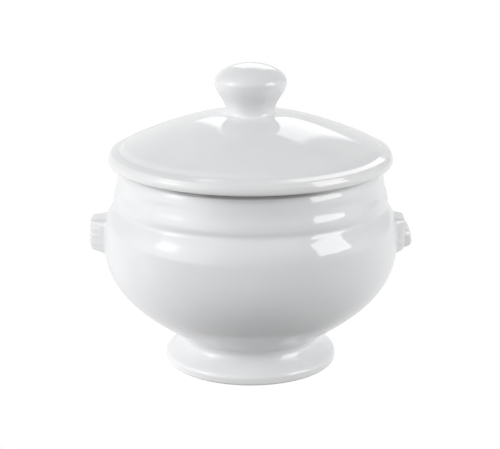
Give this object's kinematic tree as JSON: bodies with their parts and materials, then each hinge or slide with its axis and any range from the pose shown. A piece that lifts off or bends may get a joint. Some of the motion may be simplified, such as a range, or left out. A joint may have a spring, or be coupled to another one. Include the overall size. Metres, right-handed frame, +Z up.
{
  "type": "sugar bowl",
  "caption": "Footed round-bellied porcelain sugar bowl with small side lugs and a domed lift-off lid with a mushroom knob.",
  "frame": {"origin": "centre of the resting circle, on the plane the foot stands on", "axes": "+Z up along the axis of the bowl, +X through the right-hand lug, so the two lugs lie on the X axis and the set is seen from -Y in the usual front view"},
  "size_m": [0.1196, 0.1088, 0.1123],
  "materials": {
    "bowl_glaze": "glossy white glaze over porcelain",
    "foot_glaze": "glossy white glaze, resting ring left unglazed",
    "lug_glaze": "glossy white glaze, thicker in the hollows",
    "lid_glaze": "glossy white glaze over porcelain"
  },
  "bodies": {
    "bowl": {"bowl_body": "bowl_glaze", "pedestal_foot": "foot_glaze", "left_lug": "lug_glaze", "right_lug": "lug_glaze"},
    "lid": {"lid_cover": "lid_glaze", "lid_knob": "lid_glaze"}
  },
  "joints": [
    {"name": "lid_lift", "type": "slide", "parent": "bowl", "child": "lid", "axis": [0, 0, 1], "range_m": [0, 0.06]}
  ]
}
